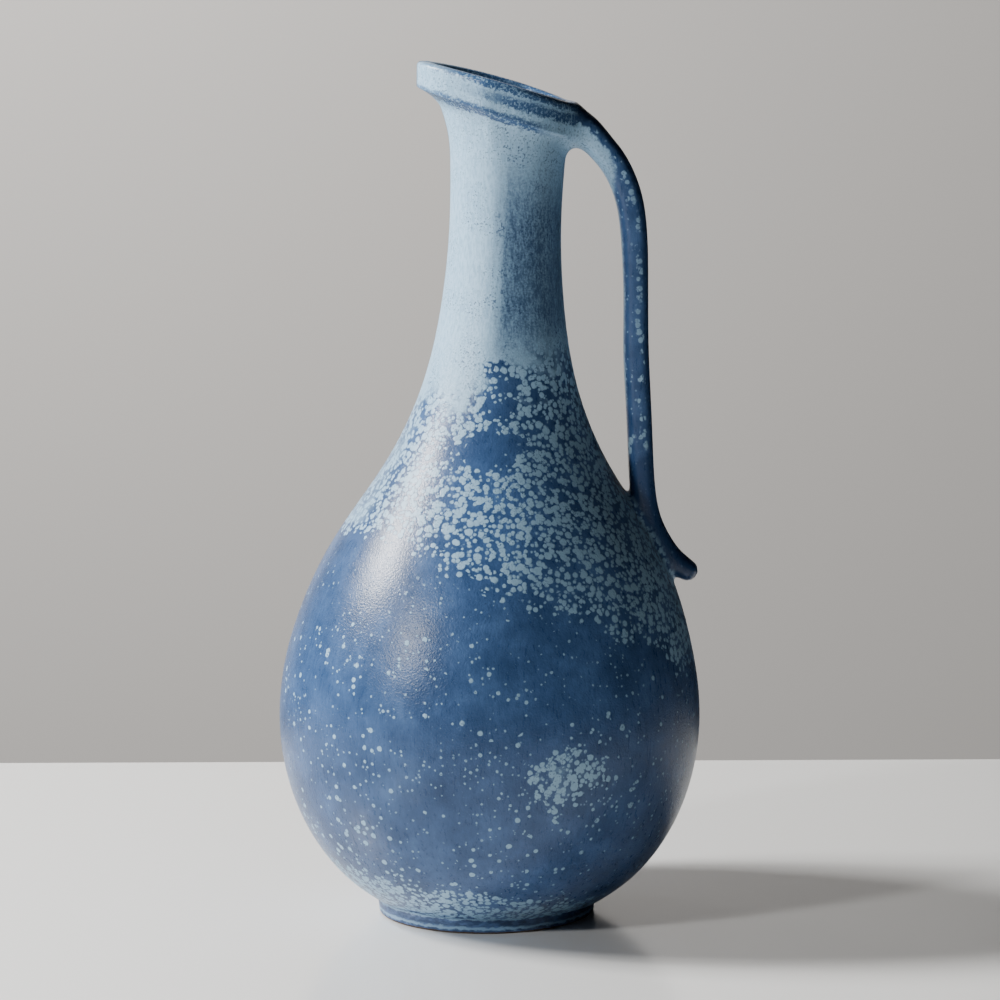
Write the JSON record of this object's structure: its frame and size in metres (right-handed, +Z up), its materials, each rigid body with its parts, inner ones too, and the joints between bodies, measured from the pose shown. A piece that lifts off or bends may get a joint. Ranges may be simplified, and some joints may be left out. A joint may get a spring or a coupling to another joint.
{
  "type": "ceramic pitcher",
  "caption": "Tall glazed stoneware pitcher: globular body, slender leaning neck, slanted collar drawn into a spout, and a strap handle with a curled tail.",
  "frame": {"origin": "centre of the foot ring's standing face, on the surface the pitcher stands on", "axes": "+Z up, +X towards the handle (the spout points along -X), +Y to the side, so the XZ plane is the plane of symmetry"},
  "size_m": [0.1578, 0.1578, 0.3197],
  "materials": {
    "foot_glaze": "satin blue glaze down to a thin bare brown edge that stands on the table",
    "blue_glaze": "satin cobalt blue crystalline glaze with pale round crystals",
    "pale_glaze": "satin powder blue glaze with fine dark speckle, breaking to dark blue on edges"
  },
  "bodies": {
    "root": {"foot_ring": "foot_glaze", "bowl": "blue_glaze", "shoulder": "blue_glaze", "neck": "pale_glaze", "pouring_lip": "pale_glaze", "handle": "blue_glaze", "upper_handle_coil": "pale_glaze", "lower_handle_coil": "blue_glaze"}
  },
  "joints": []
}
